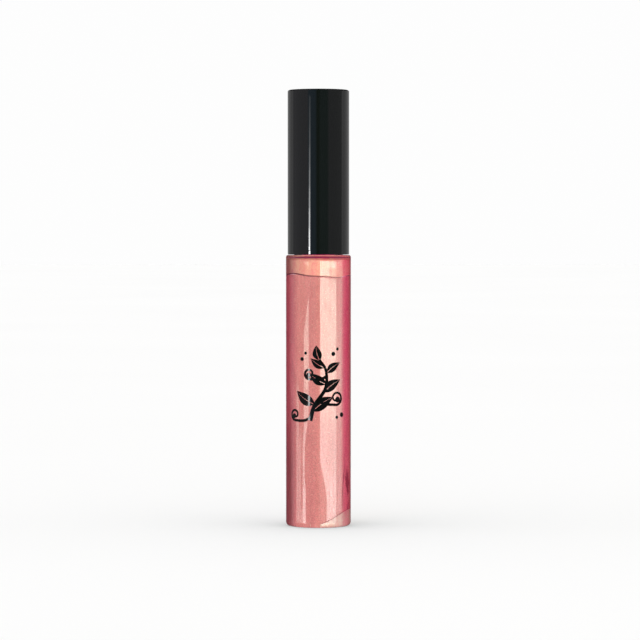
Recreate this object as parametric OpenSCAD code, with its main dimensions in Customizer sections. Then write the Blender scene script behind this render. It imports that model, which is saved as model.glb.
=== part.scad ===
// Lip gloss tube: a clear, thick-walled bottle with a press-in wiper, and a screw
// cap that carries a doe-foot applicator on a stem.
// Millimetres, +Z up. The origin is the centre of the flat base.

/* [Bottle] */
// Outer diameter of the bottle
bottle_d = 16.5; // [16.4:0.1:18]
// Height of the shoulder, where the cap ends
shoulder_z = 68.7; // [60:0.1:76]
// Thickness of the clear side wall
wall_t = 2.35; // [2.2:0.05:2.6]
// Thickness of the clear base
base_t = 0.9; // [0.9:0.1:3]

/* [Neck and thread] */
// Diameter of the neck between the turns of its thread
neck_d = 11.2; // [11:0.05:11.3]
// Height of the neck above the shoulder
neck_h = 11.9; // [11.6:0.1:12.6]
// Diameter of the hole through the neck
neck_bore_d = 8.4; // [8.3:0.05:8.6]
// Height gained in one turn of the thread
thread_pitch = 3; // [2.8:0.1:3]
// Number of turns on the neck
thread_turns = 1.5; // [1.25:0.25:1.5]

/* [Gloss] */
// How far the gloss's level is below the shoulder
gloss_drop = 5.1; // [4.5:0.1:30]
// Thickness of the gloss that clings to the wall above that level
film_t = 0.35; // [0.2:0.05:0.5]

/* [Wiper] */
// Length of the wiper below its flange
wiper_len = 9; // [8:0.5:10]
// Diameter of the hole that wipes the wand
orifice_d = 4.6; // [4.5:0.05:4.8]

/* [Cap] */
// Outer diameter of the cap
cap_d = 15.6; // [15.5:0.05:16.4]
// Height of the closed tube
total_h = 110.5; // [108:0.1:120]
// Wall of the cap round the inner cap
cap_wall = 0.85; // [0.75:0.05:0.85]
// Gap between the closed cap and the shoulder
cap_gap = 0.15; // [0.1:0.05:0.3]

/* [Wand] */
// Diameter of the stem
stem_d = 3.6; // [3.4:0.05:3.7]
// Height of the applicator's lowest point above the base
tip_z = 6; // [5:0.1:8]
// Length of the flocked applicator
tip_len = 10.6; // [9:0.1:12]
// Length of the flock's fibres
flock_t = 0.35; // [0.25:0.05:0.4]

/* [Hidden] */
$fn = 96;

bottle_r = bottle_d / 2;
cavity_r = bottle_r - wall_t;
base_round = 0.9;          // rounding of the bottle's lower edge
shoulder_round = 0.5;      // rounding of the shoulder's edge
cavity_round = 1.0;        // rounding at the bottom of the cavity
recess_r = 5.4;            // moulded recess under the base
recess_h = 0.35;
gate_r = 0.6;              // the moulding gate's mark in the recess
gate_h = 0.2;

neck_r = neck_d / 2;
neck_bore_r = neck_bore_d / 2;
neck_top = shoulder_z + neck_h;
ledge_r = neck_r + 0.6;    // ring at the foot of the neck
ledge_h = 0.8;
edge = 0.2;                // small chamfer on moulded edges
inner_shoulder_z = shoulder_z - 0.6;
inner_shoulder_r = 0.9;    // rounding at the top of the cavity
gloss_level = shoulder_z - gloss_drop;

thread_crest_r = neck_r + 0.55;
thread_foot_w = 1.2;       // width of a thread where it meets the wall
thread_crest_w = 0.6;
thread_z = shoulder_z + 2.6;
thread_step = 10;          // degrees between the rings of a thread
thread_ease = 40;          // degrees over which a thread fades in and out
thread_bite = 0.25;        // how far a thread's foot is sunk in the wall

thread_gap = 0.1;          // between the flanks of the two threads when the cap is closed
thread_mesh_w = 0.75;      // from middle to middle where the flanks of the two threads touch
inner_thread_z = thread_z + 0.25 * thread_pitch - thread_mesh_w - thread_gap;

channel_r = 2.5;           // path of the wand through the gloss
channel_end = 0.8;         // gap below the applicator

flange_r = neck_r - 0.25;
flange_h = 0.7;
flange_top = neck_top + flange_h;
wiper_r = neck_bore_r - 0.05;
wiper_bead_r = neck_bore_r + 0.05;
wiper_z = neck_top - wiper_len;
wiper_inner_r = 3.4;
orifice_r = orifice_d / 2;

washer_r = 5.3;
washer_hole_r = 2.1;
washer_z = flange_top + 0.05;
washer_h = 0.8;

cap_r = cap_d / 2;
cap_z = shoulder_z + cap_gap;
cap_inner_r = cap_r - cap_wall;
cap_upper_r = cap_inner_r - 0.55;   // narrower bore above the inner cap
cap_top_t = 1.3;
cap_round = 0.45;

fit = 0.05;                         // gap of a push fit
inner_r = cap_inner_r - fit;        // outside of the inner cap
inner_root_r = neck_r + 0.7;        // its bore, between the turns of its thread
inner_crest_r = neck_r + 0.15;
inner_z = cap_z + 1.05;
deck_z = washer_z + washer_h + 0.05;
deck_t = 1.45;
boss_r = 3.3;
boss_top = deck_z + 10.9;
fin_top = boss_top + 2.1;
fin_t = 0.7;
fins = 6;
bead_z = deck_z + 0.7;              // snap bead that holds the inner cap in the cap
bead_h = 0.8;
bead_out = 0.1;

stem_r = stem_d / 2;
stem_z = tip_z + tip_len + 0.1;
head_r = 2.8;
head_h = 1;
socket_r = 1.1;
socket_h = 5;
shank_r = socket_r - fit;
tip_top = tip_z + tip_len;
tip_turn = 35;                      // which way the applicator's slant faces
tip_fn = 24;

// Points along an arc, for the rounded stretches of an outline
function arc(centre, r, from, to, steps = 6) =
    [for (i = [0:steps]) let (a = from + (to - from) * i / steps) centre + r * [cos(a), sin(a)]];

// One ring of a thread: a trapezoid in the plane through the axis at angle a
function thread_ring(a, z, lo_r, lo_w, hi_r, hi_w) = [
    for (c = [[lo_r, -lo_w], [hi_r, -hi_w], [hi_r, hi_w], [lo_r, lo_w]])
        [c[0] * cos(a), c[0] * sin(a), z + c[1] / 2]
];

// A right-handed thread that winds from angle a0 for the given turns. Its foot is sunk in
// the wall and its crest fades into the wall at both ends.
module thread(wall_r, crest_r, z0, a0, turns) {
    outward = crest_r > wall_r ? 1 : -1;
    foot_r = wall_r - outward * thread_bite;
    hidden_r = wall_r - outward * 0.05;
    sweep = 360 * turns;
    n = round(sweep / thread_step);
    rings = [
        for (i = [0:n])
            let (
                a = sweep * i / n,
                rise = min(1, a / thread_ease, (sweep - a) / thread_ease),
                tip_r = hidden_r + (crest_r - hidden_r) * rise,
                z = z0 + thread_pitch * a / 360
            )
            outward > 0
                ? thread_ring(a0 + a, z, foot_r, thread_foot_w, tip_r, thread_crest_w)
                : thread_ring(a0 + a, z, tip_r, thread_crest_w, foot_r, thread_foot_w)
    ];
    points = [for (ring = rings) for (p = ring) p];
    sides = [
        for (i = [0:n - 1], k = [0:3])
            let (p = 4 * i + k, q = 4 * i + (k + 1) % 4)
            for (face = [[p, q, p + 4], [q, q + 4, p + 4]]) face
    ];
    last = 4 * n;
    ends = [[0, 2, 1], [0, 3, 2], [last, last + 1, last + 2], [last, last + 2, last + 3]];
    polyhedron(points, concat(sides, ends));
}

module bottle_outside() {
    rotate_extrude()
        polygon(concat(
            [[0, 0]],
            arc([bottle_r - base_round, base_round], base_round, -90, 0),
            arc([bottle_r - shoulder_round, shoulder_z - shoulder_round], shoulder_round, 0, 90),
            [
                [ledge_r, shoulder_z],
                [ledge_r, shoulder_z + ledge_h - edge],
                [ledge_r - edge, shoulder_z + ledge_h],
                [neck_r, shoulder_z + ledge_h],
                [neck_r, neck_top - edge],
                [neck_r - edge, neck_top],
                [0, neck_top]
            ]
        ));
}

// The rounding at the top of the cavity, or of the film that lines it
function inner_shoulder(film) =
    arc([cavity_r - inner_shoulder_r, inner_shoulder_z - inner_shoulder_r],
        inner_shoulder_r - film, 0, 90, 8);

// The outline of the cavity from the middle of its floor to the mouth of the neck
function cavity_outline() = concat(
    [[0, base_t]],
    arc([cavity_r - cavity_round, base_t + cavity_round], cavity_round, -90, 0, 8),
    inner_shoulder(0),
    [[neck_bore_r, inner_shoulder_z]]
);

module bottle_inside() {
    rotate_extrude()
        polygon(concat(cavity_outline(), [[neck_bore_r, neck_top + 1], [0, neck_top + 1]]));
}

// The recess under the base, with the gate's mark standing in its middle
module base_recess() {
    difference() {
        translate([0, 0, -1])
            cylinder(r1 = recess_r + 1, r2 = recess_r - recess_h, h = 1 + recess_h);
        translate([0, 0, recess_h - gate_h])
            cylinder(r = gate_r, h = 1);
    }
}

module bottle() {
    color("mistyrose", 0.4)
        difference() {
            union() {
                bottle_outside();
                thread(neck_r, thread_crest_r, thread_z, 0, thread_turns);
            }
            bottle_inside();
            base_recess();
        }
}

// The gloss fills the cavity to its level, leaves the wand's path open, and clings to the
// wall above as far as the wiper.
module gloss() {
    film_r = cavity_r - film_t;
    film_shoulder = inner_shoulder(film_t);
    film_edge = [for (i = [len(film_shoulder) - 1:-1:0]) film_shoulder[i]];
    color("lightcoral")
        rotate_extrude()
            polygon(concat(
                cavity_outline(),
                [
                    [neck_bore_r, wiper_z - 0.4],
                    [neck_bore_r - film_t / 2, wiper_z - 0.8],
                    [neck_bore_r - film_t / 2, inner_shoulder_z - film_t]
                ],
                film_edge,
                [[film_r, gloss_level], [channel_r, gloss_level]],
                arc([0, tip_z - channel_end + channel_r], channel_r, 0, -90, 8)
            ));
}

module wiper() {
    bead = function(z) [
        [wiper_r, z + 0.4], [wiper_bead_r, z + 0.15], [wiper_bead_r, z - 0.15], [wiper_r, z - 0.4]
    ];
    color("whitesmoke")
        rotate_extrude()
            polygon(concat(
                [
                    [wiper_inner_r + edge, flange_top],
                    [flange_r - edge, flange_top],
                    [flange_r, flange_top - edge],
                    [flange_r, neck_top],
                    [wiper_r, neck_top]
                ],
                bead(neck_top - 2),
                bead(neck_top - 4.2),
                [
                    [wiper_r, wiper_z + 2],
                    [orifice_r + 0.6, wiper_z],
                    [orifice_r, wiper_z],
                    [orifice_r, wiper_z + 0.35],
                    [wiper_inner_r, wiper_z + 2.8],
                    [wiper_inner_r, flange_top - 2 * edge]
                ]
            ));
}

module seal_washer() {
    color("white")
        translate([0, 0, washer_z])
            difference() {
                cylinder(r = washer_r, h = washer_h);
                translate([0, 0, -1]) cylinder(r = washer_hole_r, h = washer_h + 2);
            }
}

module stem() {
    color("gainsboro")
        difference() {
            rotate_extrude()
                polygon([
                    [0, stem_z],
                    [stem_r - edge, stem_z],
                    [stem_r, stem_z + edge],
                    [stem_r, boss_top + fit],
                    [head_r - edge, boss_top + fit],
                    [head_r, boss_top + fit + edge],
                    [head_r, boss_top + fit + head_h - edge],
                    [head_r - edge, boss_top + fit + head_h],
                    [0, boss_top + fit + head_h]
                ]);
            translate([0, 0, stem_z - 1]) cylinder(r = socket_r, h = socket_h + 1);
        }
}

// The doe-foot's form, grown outwards: round under the stem, slanting to a flat, blunt end
module doe_foot(grow) {
    end_r = 0.6 + grow;
    belly_r = 1.75 + grow;
    hull() {
        translate([0, 0, tip_top - 0.4]) cylinder(r = 1.4 + grow, h = 0.4, $fn = tip_fn);
        translate([0, 0, tip_top - 2.7]) sphere(r = belly_r, $fn = tip_fn);
        for (side = [-1, 1])
            translate([0.7 * side, 0.95, tip_z + flock_t + 0.6]) sphere(r = end_r, $fn = tip_fn);
    }
}

module applicator_core() {
    color("mistyrose")
        rotate([0, 0, tip_turn]) {
            doe_foot(0);
            translate([0, 0, tip_top - 0.2]) cylinder(r = shank_r, h = socket_h - 0.2);
        }
}

module flock_coat() {
    color("pink")
        rotate([0, 0, tip_turn])
            difference() {
                doe_foot(flock_t);
                doe_foot(0);
            }
}

module inner_cap() {
    color("whitesmoke") {
        rotate_extrude()
            polygon([
                [inner_r - edge, inner_z],
                [inner_r, inner_z + edge],
                [inner_r, bead_z - bead_h / 2],
                [inner_r + bead_out, bead_z - bead_h / 4],
                [inner_r + bead_out, bead_z + bead_h / 4],
                [inner_r, bead_z + bead_h / 2],
                [inner_r, deck_z + deck_t],
                [boss_r, deck_z + deck_t],
                [boss_r, boss_top],
                [stem_r + fit, boss_top],
                [stem_r + fit, deck_z],
                [inner_root_r, deck_z],
                [inner_root_r, inner_z + edge],
                [inner_root_r + edge, inner_z]
            ]);
        for (i = [0:fins - 1])
            rotate([0, 0, 360 / fins * i])
                translate([boss_r - 0.4, -fin_t / 2, deck_z + deck_t - 0.4])
                    cube([inner_r - boss_r + 0.3, fin_t, fin_top - deck_z - deck_t + 0.4]);
        thread(inner_root_r, inner_crest_r, inner_thread_z, 90, thread_turns - 0.25);
    }
}

module cap_shell() {
    groove_r = cap_inner_r + bead_out;
    ceiling_z = total_h - cap_top_t;
    color([0.03, 0.03, 0.03])
        rotate_extrude()
            polygon(concat(
                [[cap_inner_r + edge, cap_z], [cap_r - edge / 2, cap_z], [cap_r, cap_z + edge / 2]],
                arc([cap_r - cap_round, total_h - cap_round], cap_round, 0, 90),
                [[0, total_h], [0, ceiling_z]],
                arc([cap_upper_r - 0.6, ceiling_z - 0.6], 0.6, 90, 0),
                [
                    [cap_upper_r, fin_top + 0.1],
                    [cap_inner_r, fin_top + 0.1],
                    [cap_inner_r, bead_z + bead_h / 2],
                    [groove_r, bead_z + bead_h / 4],
                    [groove_r, bead_z - bead_h / 4],
                    [cap_inner_r, bead_z - bead_h / 2],
                    [cap_inner_r, cap_z + edge]
                ]
            ));
}

bottle();
gloss();
wiper();
seal_washer();
stem();
applicator_core();
flock_coat();
inner_cap();
cap_shell();
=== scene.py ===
"""The looks of the lip gloss tube. The frame's origin is the centre of the flat base, +Z is up,
and -Y is the front. Outlines are in millimetres and become metres when a mesh is made."""

import math
import random

import bmesh
import bpy
from mathutils import Matrix, Vector, noise


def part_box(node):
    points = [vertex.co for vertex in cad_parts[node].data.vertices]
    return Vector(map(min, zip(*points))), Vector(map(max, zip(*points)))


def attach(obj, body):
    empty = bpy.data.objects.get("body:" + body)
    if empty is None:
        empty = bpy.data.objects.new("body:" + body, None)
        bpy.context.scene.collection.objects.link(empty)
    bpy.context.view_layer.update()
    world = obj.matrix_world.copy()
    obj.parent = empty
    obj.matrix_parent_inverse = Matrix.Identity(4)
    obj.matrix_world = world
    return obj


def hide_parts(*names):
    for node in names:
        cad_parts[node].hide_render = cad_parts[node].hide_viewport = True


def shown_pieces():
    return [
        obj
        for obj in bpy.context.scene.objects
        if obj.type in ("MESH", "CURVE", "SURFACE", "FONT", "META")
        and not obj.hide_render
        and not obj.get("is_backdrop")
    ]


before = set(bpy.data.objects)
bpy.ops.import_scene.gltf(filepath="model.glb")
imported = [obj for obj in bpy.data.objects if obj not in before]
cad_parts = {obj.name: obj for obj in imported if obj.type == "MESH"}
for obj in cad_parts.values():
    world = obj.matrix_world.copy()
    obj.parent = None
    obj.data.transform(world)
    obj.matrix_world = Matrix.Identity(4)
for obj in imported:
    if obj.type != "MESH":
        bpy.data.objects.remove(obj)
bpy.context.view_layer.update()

MM = 0.001
SIDES = 192  # round a turned piece


# --- Sizes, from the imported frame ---

def low_high(node):
    """A node's lowest and highest corners in millimetres."""
    low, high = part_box(node)
    return [v / MM for v in low], [v / MM for v in high]


bottle_high = low_high("bottle")[1]
gloss_low, gloss_high = low_high("gloss")
wiper_low, wiper_high = low_high("wiper")
washer_low, washer_high = low_high("seal_washer")
stem_low, stem_high = low_high("stem")
flock_low, flock_high = low_high("flock_coat")
inner_low, inner_high = low_high("inner_cap")
shell_low, shell_high = low_high("cap_shell")

SKIN = 0.012  # the print stands this far proud of the bottle, out to the CAD radius
SUNK = 0.02  # and its underside lies this deep in the wall
BOTTLE_R = bottle_high[1] - SKIN
NECK_TOP = bottle_high[2]
CAVITY_R = gloss_high[0]
BASE_T = gloss_low[2]
CAP_R = shell_high[0]
CAP_Z = shell_low[2]
CAP_TOP = shell_high[2]
CAP_GAP = 0.15  # between the bottle's shoulder and the cap
SHOULDER_Z = CAP_Z - CAP_GAP

BASE_ROUND = 0.9
SHOULDER_ROUND = 0.5
CAVITY_ROUND = 1.0
SHOULDER_T = 0.6
INNER_SHOULDER_Z = SHOULDER_Z - SHOULDER_T
INNER_SHOULDER_R = 0.9
WALL_TOP = INNER_SHOULDER_Z - INNER_SHOULDER_R
NECK_R = 5.6
BORE_R = 4.2
LEDGE_R = NECK_R + 0.6
LEDGE_H = 0.8
EDGE = 0.2
RECESS_R = 5.4
RECESS_H = 0.35
GATE_R = 0.6
FOOT_Z = RECESS_H + 0.08

PITCH = 3.0
NECK_THREAD_Z = SHOULDER_Z + 2.6
NECK_TURNS = 1.5
NECK_CREST_R = NECK_R + 0.55
INNER_ROOT_R = NECK_R + 0.7
INNER_CREST_R = NECK_R + 0.15
INNER_THREAD_Z = NECK_THREAD_Z + 0.25 * PITCH - 0.85
INNER_THREAD_START = 90
INNER_TURNS = 1.25
CREST_HALF = 0.2  # half the width of a thread's flat crest
FLANK_END = 0.72  # how far from the crest's middle the flank ends
THREAD_EASE = 65  # degrees over which a thread fades in and out

GLOSS_DROP = 5.1  # from the shoulder down to the gloss's level
GLOSS_Z = SHOULDER_Z - GLOSS_DROP
CONTACT = 0.03  # the gloss reaches this far into the wall, so that no air shows between them
GLOSS_R = CAVITY_R + CONTACT
CHANNEL_R = 2.5  # the wand's path through the gloss
FILM_T = 0.35

STEM_R = 1.8
TIP_Z = flock_low[2]
TIP_TOP = flock_high[2]
TIP_TURN = 35
FLOCK_T = 0.35


# --- Building meshes ---

def spiral(centre, start_r, end_r, start, end, steps=40):
    """Points from one radius and angle to another, in degrees, about centre."""
    points = []
    for i in range(steps + 1):
        r = start_r + (end_r - start_r) * i / steps
        angle = math.radians(start + (end - start) * i / steps)
        points.append((centre[0] + r * math.cos(angle), centre[1] + r * math.sin(angle)))
    return points


def arc(centre, radius, start, end, steps=10):
    return spiral(centre, radius, radius, start, end, steps)


def rows(radius, low, high, step):
    """Points up a straight wall, close enough together to be shaped."""
    count = max(1, round(abs(high - low) / step))
    return [(radius, low + (high - low) * i / count) for i in range(count + 1)]


def rounded(corners, radius, steps=5):
    """The closed outline through corners, with each corner rounded off."""
    points = []
    for i, corner in enumerate(corners):
        here = Vector(corner)
        before = Vector(corners[i - 1]) - here
        after = Vector(corners[(i + 1) % len(corners)]) - here
        reach = min(radius, before.length * 0.45, after.length * 0.45)
        start = here + before.normalized() * reach
        end = here + after.normalized() * reach
        for k in range(steps + 1):
            t = k / steps
            points.append(tuple((1 - t) ** 2 * start + 2 * t * (1 - t) * here + t ** 2 * end))
    return points


def finish_mesh(name, bm, body, sharp=35):
    """Turns bm, in millimetres, into an object that rides on body."""
    bmesh.ops.recalc_face_normals(bm, faces=bm.faces)
    for face in bm.faces:
        face.smooth = True
    mesh = bpy.data.meshes.new(name)
    bm.to_mesh(mesh)
    bm.free()
    mesh.transform(Matrix.Scale(MM, 4))
    mesh.set_sharp_from_angle(angle=math.radians(sharp))
    piece = bpy.data.objects.new(name, mesh)
    bpy.context.collection.objects.link(piece)
    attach(piece, body)
    return piece


def add_turned(bm, outline, sides=SIDES, ring=False, shape=None):
    """Adds the solid turned from an outline of (radius, height) points about +Z. A ring's
    outline closes on itself. Shape takes (radius, height, angle) and returns a new pair."""
    loops = []
    for r, z in outline:
        if r < 1e-6:
            loops.append([bm.verts.new((0, 0, z))] * sides)
            continue
        loop = []
        for k in range(sides):
            angle = 2 * math.pi * k / sides
            rr, zz = shape(r, z, angle) if shape else (r, z)
            loop.append(bm.verts.new((rr * math.cos(angle), rr * math.sin(angle), zz)))
        loops.append(loop)
    for a, b in zip(loops, loops[1:] + loops[:1] if ring else loops[1:]):
        for k in range(sides):
            j = (k + 1) % sides
            corners = dict.fromkeys((a[k], b[k], b[j], a[j]))
            if len(corners) > 2:
                bm.faces.new(tuple(corners))


def turned(name, outline, body, sides=SIDES, ring=False, shape=None, sharp=35):
    bm = bmesh.new()
    add_turned(bm, outline, sides, ring, shape)
    return finish_mesh(name, bm, body, sharp)


def smoothstep(low, high, value):
    t = min(1.0, max(0.0, (value - low) / (high - low)))
    return t * t * (3 - 2 * t)


def thread_height(z, angle, z0, start, turns):
    """How much of a thread stands at this height and angle, from 0 to 1. It is 1 on the flat
    crest and falls off down both flanks, and it fades in and out at the ends."""
    most = 0.0
    for turn in range(-1, math.ceil(turns) + 1):
        wound = angle - math.radians(start) + 2 * math.pi * turn
        if not 0 <= wound <= 2 * math.pi * turns:
            continue
        off = abs(z - z0 - PITCH * wound / (2 * math.pi))
        ends = min(wound, 2 * math.pi * turns - wound)
        ease = smoothstep(0, math.radians(THREAD_EASE), ends)
        most = max(most, (1 - smoothstep(CREST_HALF, FLANK_END, off)) * ease)
    return most


# --- Materials ---

class Nodes:
    """Short ways to add nodes to a tree. Values are numbers, colours or sockets."""

    def __init__(self, tree):
        self.tree = tree

    def give(self, value, target):
        """Links a socket, or sets it to a number or a colour."""
        if isinstance(value, bpy.types.NodeSocket):
            self.tree.links.new(value, target)
        elif target.type == "RGBA":
            target.default_value = (*value, 1)
        else:
            target.default_value = value

    def add(self, kind, output, **values):
        """Adds a node and returns one of its outputs. A value whose name starts with a capital
        letter is for an input, and the others are for the node's own settings."""
        made = self.tree.nodes.new("ShaderNode" + kind)
        for name, value in values.items():
            if name[0].isupper():
                self.give(value, made.inputs[name.replace("_", " ")])
            else:
                setattr(made, name, value)
        return made.outputs[output]

    def fill(self, kind, *values):
        """Adds a node whose inputs are taken in order."""
        made = self.tree.nodes.new("ShaderNode" + kind)
        for value, target in zip(values, made.inputs):
            self.give(value, target)
        return made

    def maths(self, operation, a, b=0.0):
        made = self.fill("Math", a, b)
        made.operation = operation
        return made.outputs[0]

    def times(self, a, b):
        return self.maths("MULTIPLY", a, b)

    def plus(self, a, b):
        return self.maths("ADD", a, b)

    def minus(self, a, b):
        return self.maths("SUBTRACT", a, b)

    def spread(self, source, low, high, to_low=0.0, to_high=1.0, how="SMOOTHSTEP"):
        """Maps source from one range to another, held at both ends."""
        return self.add("MapRange", "Result", interpolation_type=how, Value=source, From_Min=low,
                        From_Max=high, To_Min=to_low, To_Max=to_high)

    def blend(self, factor, a, b):
        """Colour a where factor is 0 and b where it is 1."""
        made = self.tree.nodes.new("ShaderNodeMix")
        made.data_type = "RGBA"
        self.give(factor, made.inputs["Factor"])
        for name, value in (("A", a), ("B", b)):
            self.give(value, next(s for s in made.inputs if s.name == name and s.type == "RGBA"))
        return next(s for s in made.outputs if s.type == "RGBA")


class Paint(Nodes):
    """A material with one Principled shader."""

    def __init__(self, name, **values):
        self.material = bpy.data.materials.new(name)
        self.material.use_nodes = True
        super().__init__(self.material.node_tree)
        self.shader = self.tree.nodes["Principled BSDF"]
        for key, value in values.items():
            self.shader.inputs[key.replace("_", " ")].default_value = value

    def place(self, stretch=(1, 1, 1)):
        """Where on the object a point is, in metres times stretch."""
        return self.add("Mapping", "Vector", Vector=self.add("TexCoord", "Object"), Scale=stretch)

    def noise(self, scale, stretch=(1, 1, 1), detail=3.0, distortion=0.0):
        return self.add("TexNoise", "Fac", Vector=self.place(stretch), Scale=scale, Detail=detail,
                        Roughness=0.5, Distortion=distortion)

    def cells(self, scale):
        """How far a point is from the middle of its cell."""
        return self.add("TexVoronoi", "Distance", Vector=self.place(), Scale=scale)

    def part(self, name):
        """X, Y or Z of where a point is on the object, in metres."""
        return self.add("SeparateXYZ", name, Vector=self.place())

    def colour(self, source):
        self.give(source, self.shader.inputs["Base Color"])

    def roughness(self, source, low, high, smooth, rough):
        """From smooth, where source is low, to rough, where it is high."""
        self.give(self.spread(source, low, high, smooth, rough), self.shader.inputs["Roughness"])

    def bump(self, source, distance, strength):
        normal = self.add("Bump", "Normal", Height=source, Distance=distance, Strength=strength)
        self.give(normal, self.shader.inputs["Normal"])

    def on(self, piece, slot=None):
        piece.data.materials.clear()
        piece.data.materials.append(self.material)
        return piece


def clear_plastic():
    """Clear moulded plastic with faint handling marks. Lamps reach what is inside it."""
    paint = Paint("clear_plastic", Transmission_Weight=1.0, IOR=1.57)
    marks = paint.noise(90, stretch=(1, 1, 0.4), detail=4)
    paint.roughness(marks, 0.45, 0.8, 0.015, 0.05)
    tint = paint.noise(25, detail=1)
    paint.colour(paint.blend(tint, (1.0, 0.985, 0.985), (0.995, 0.97, 0.972)))
    shadow = paint.add("LightPath", "Is Shadow Ray")
    mixed = paint.fill("MixShader", shadow, paint.shader.outputs[0], paint.add("BsdfTransparent", 0))
    paint.give(mixed.outputs[0], paint.tree.nodes["Material Output"].inputs["Surface"])
    return paint


def pearl(name, deep, light, speck, streaks=(1, 1, 0.05), shoulder_shade_colour=None, shoulder_shade_at=None):
    """Pearly gloss: a rose colour with long soft streaks, swirls and fine pearl specks, a broad
    peach-coloured shine from the pearl and a sharp one from the liquid itself. Painted shade darkens
    its lower left side and, where asked, a band near its top."""
    paint = Paint(name, IOR=2.4, Specular_Tint=(1.0, 0.68, 0.48, 1), Coat_Weight=1.0, Coat_IOR=2.2,
                  Coat_Roughness=0.008)
    streak = paint.spread(paint.noise(520, stretch=streaks, detail=6, distortion=0.4), 0.38, 0.62)
    cloud = paint.spread(paint.noise(150, stretch=(1, 1, 0.3), detail=4, distortion=2.5), 0.35, 0.65)
    grain = paint.spread(paint.noise(3000, detail=3), 0.37, 0.63)
    coarser = paint.spread(paint.part("Z"), 0.014, 0.036, 1.25, 0.85)
    grain_share = paint.plus(paint.times(paint.minus(grain, 0.5), coarser), 0.5)
    mix = paint.plus(paint.times(streak, 0.27), paint.times(cloud, 0.33))
    mix = paint.plus(mix, paint.times(grain_share, 0.40))
    base = paint.blend(mix, deep, light)

    dots = paint.spread(paint.cells(3000), 0.0, 0.36, 1.0, 0.0)
    some = paint.spread(paint.noise(1900, detail=1), 0.50, 0.60)
    base = paint.blend(paint.times(paint.times(dots, some), 0.8), base, speck)

    # Painted shade: the lower left side is darkened towards deep wine.
    wavering = paint.plus(paint.part("X"), paint.times(cloud, 0.0003))
    left = paint.spread(wavering, -0.0057, -0.0046, 1.0, 0.0)
    lower = paint.spread(paint.part("Z"), 0.012, 0.034, 1.0, 0.45)
    base = paint.blend(paint.times(paint.times(left, lower), 0.85), base, (0.10, 0.004, 0.02))
    # Painted shade: a dark band where the film turns over the shoulder.
    if shoulder_shade_colour:
        base = paint.blend(paint.spread(paint.part("Z"), *shoulder_shade_at), base, shoulder_shade_colour)
    paint.colour(base)
    paint.roughness(grain, 0.0, 1.0, 0.34, 0.48)
    fine_lumps = paint.noise(3200, detail=2)
    long_lumps = paint.times(paint.noise(420, stretch=(1, 1, 0.12), detail=4), 2.0)
    paint.bump(paint.plus(fine_lumps, long_lumps), 0.00003, 0.55)
    return paint


def black_plastic():
    """Polished black plastic with a faint dusting of hairline marks."""
    paint = Paint("black_gloss", IOR=1.5)
    cloud = paint.noise(60, detail=4)
    paint.colour(paint.blend(cloud, (0.0035, 0.0035, 0.0038), (0.0055, 0.0055, 0.006)))
    hairs = paint.noise(700, stretch=(1, 1, 0.04), detail=6)
    paint.roughness(hairs, 0.4, 0.75, 0.03, 0.08)
    paint.bump(paint.noise(220, stretch=(1, 1, 0.25), detail=2), 0.000002, 0.3)
    return paint


def natural_plastic(name, colour, shade, rough=0.38):
    """Uncoloured plastic: milky, with light going into it and fine moulding texture."""
    paint = Paint(name, IOR=1.5, Subsurface_Weight=0.25, Subsurface_Scale=0.002)
    cloud = paint.noise(300, detail=4)
    paint.colour(paint.blend(cloud, colour, shade))
    paint.roughness(paint.noise(1400, detail=4), 0.3, 0.7, rough - 0.08, rough + 0.1)
    paint.bump(paint.noise(2500, detail=3), 0.00001, 0.4)
    return paint


def smeared_plastic(name, colour, smear, low, high, rough=0.35):
    """Natural plastic with a film of gloss that thins out between two heights, in mm."""
    paint = Paint(name, IOR=1.5, Subsurface_Weight=0.2, Subsurface_Scale=0.002, Coat_Weight=0.6,
                  Coat_Roughness=0.12)
    cover = paint.spread(paint.part("Z"), low * MM, high * MM, 1.0, 0.0)
    patches = paint.spread(paint.noise(500, stretch=(1, 1, 0.3), detail=4), 0.3, 0.62)
    film = paint.times(cover, patches)
    paint.colour(paint.blend(film, colour, smear))
    paint.roughness(film, 0.0, 1.0, rough, 0.14)
    paint.bump(paint.noise(700, stretch=(1, 1, 0.3), detail=3), 0.00005, 0.35)
    return paint


def foam():
    """Closed-cell foam: white, matt and finely pored."""
    paint = Paint("seal_foam")
    pores = paint.cells(2600)
    paint.colour(paint.blend(paint.spread(pores, 0.1, 0.7), (0.72, 0.71, 0.69), (0.88, 0.87, 0.85)))
    paint.roughness(pores, 0.0, 1.0, 0.75, 0.9)
    paint.bump(pores, 0.00006, 0.6)
    return paint


def flock(name, deep, light):
    """Short nap, wet with gloss in patches."""
    paint = Paint(name, Sheen_Weight=0.6, Sheen_Roughness=0.4, Sheen_Tint=(1.0, 0.8, 0.78, 1))
    wet = paint.noise(700, detail=4)
    paint.colour(paint.blend(paint.spread(wet, 0.3, 0.7), deep, light))
    paint.roughness(wet, 0.4, 0.7, 0.35, 0.8)
    paint.bump(paint.noise(6000, detail=3), 0.00004, 0.6)
    return paint


def ink():
    """Screen-printed black ink: even, with a fine mesh texture."""
    paint = Paint("print_ink")
    cloud = paint.noise(800, detail=3)
    paint.colour(paint.blend(cloud, (0.0025, 0.0025, 0.0028), (0.006, 0.0055, 0.006)))
    paint.shader.inputs["Specular IOR Level"].default_value = 0.2
    paint.roughness(cloud, 0.3, 0.7, 0.07, 0.12)
    paint.bump(paint.noise(5000, detail=2), 0.000002, 0.3)
    return paint


# --- The bottle ---

def cavity_outline():
    """From the middle of the cavity's floor up its wall and over the shoulder to the bore."""
    points = [(0, BASE_T)]
    points += arc((CAVITY_R - CAVITY_ROUND, BASE_T + CAVITY_ROUND), CAVITY_ROUND, -90, 0, 16)
    points += rows(CAVITY_R, BASE_T + CAVITY_ROUND, WALL_TOP, 2.0)[1:]
    points += arc((CAVITY_R - INNER_SHOULDER_R, WALL_TOP), INNER_SHOULDER_R, 0, 90, 12)[1:]
    return points + [(BORE_R + 0.5, INNER_SHOULDER_Z)]


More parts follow.
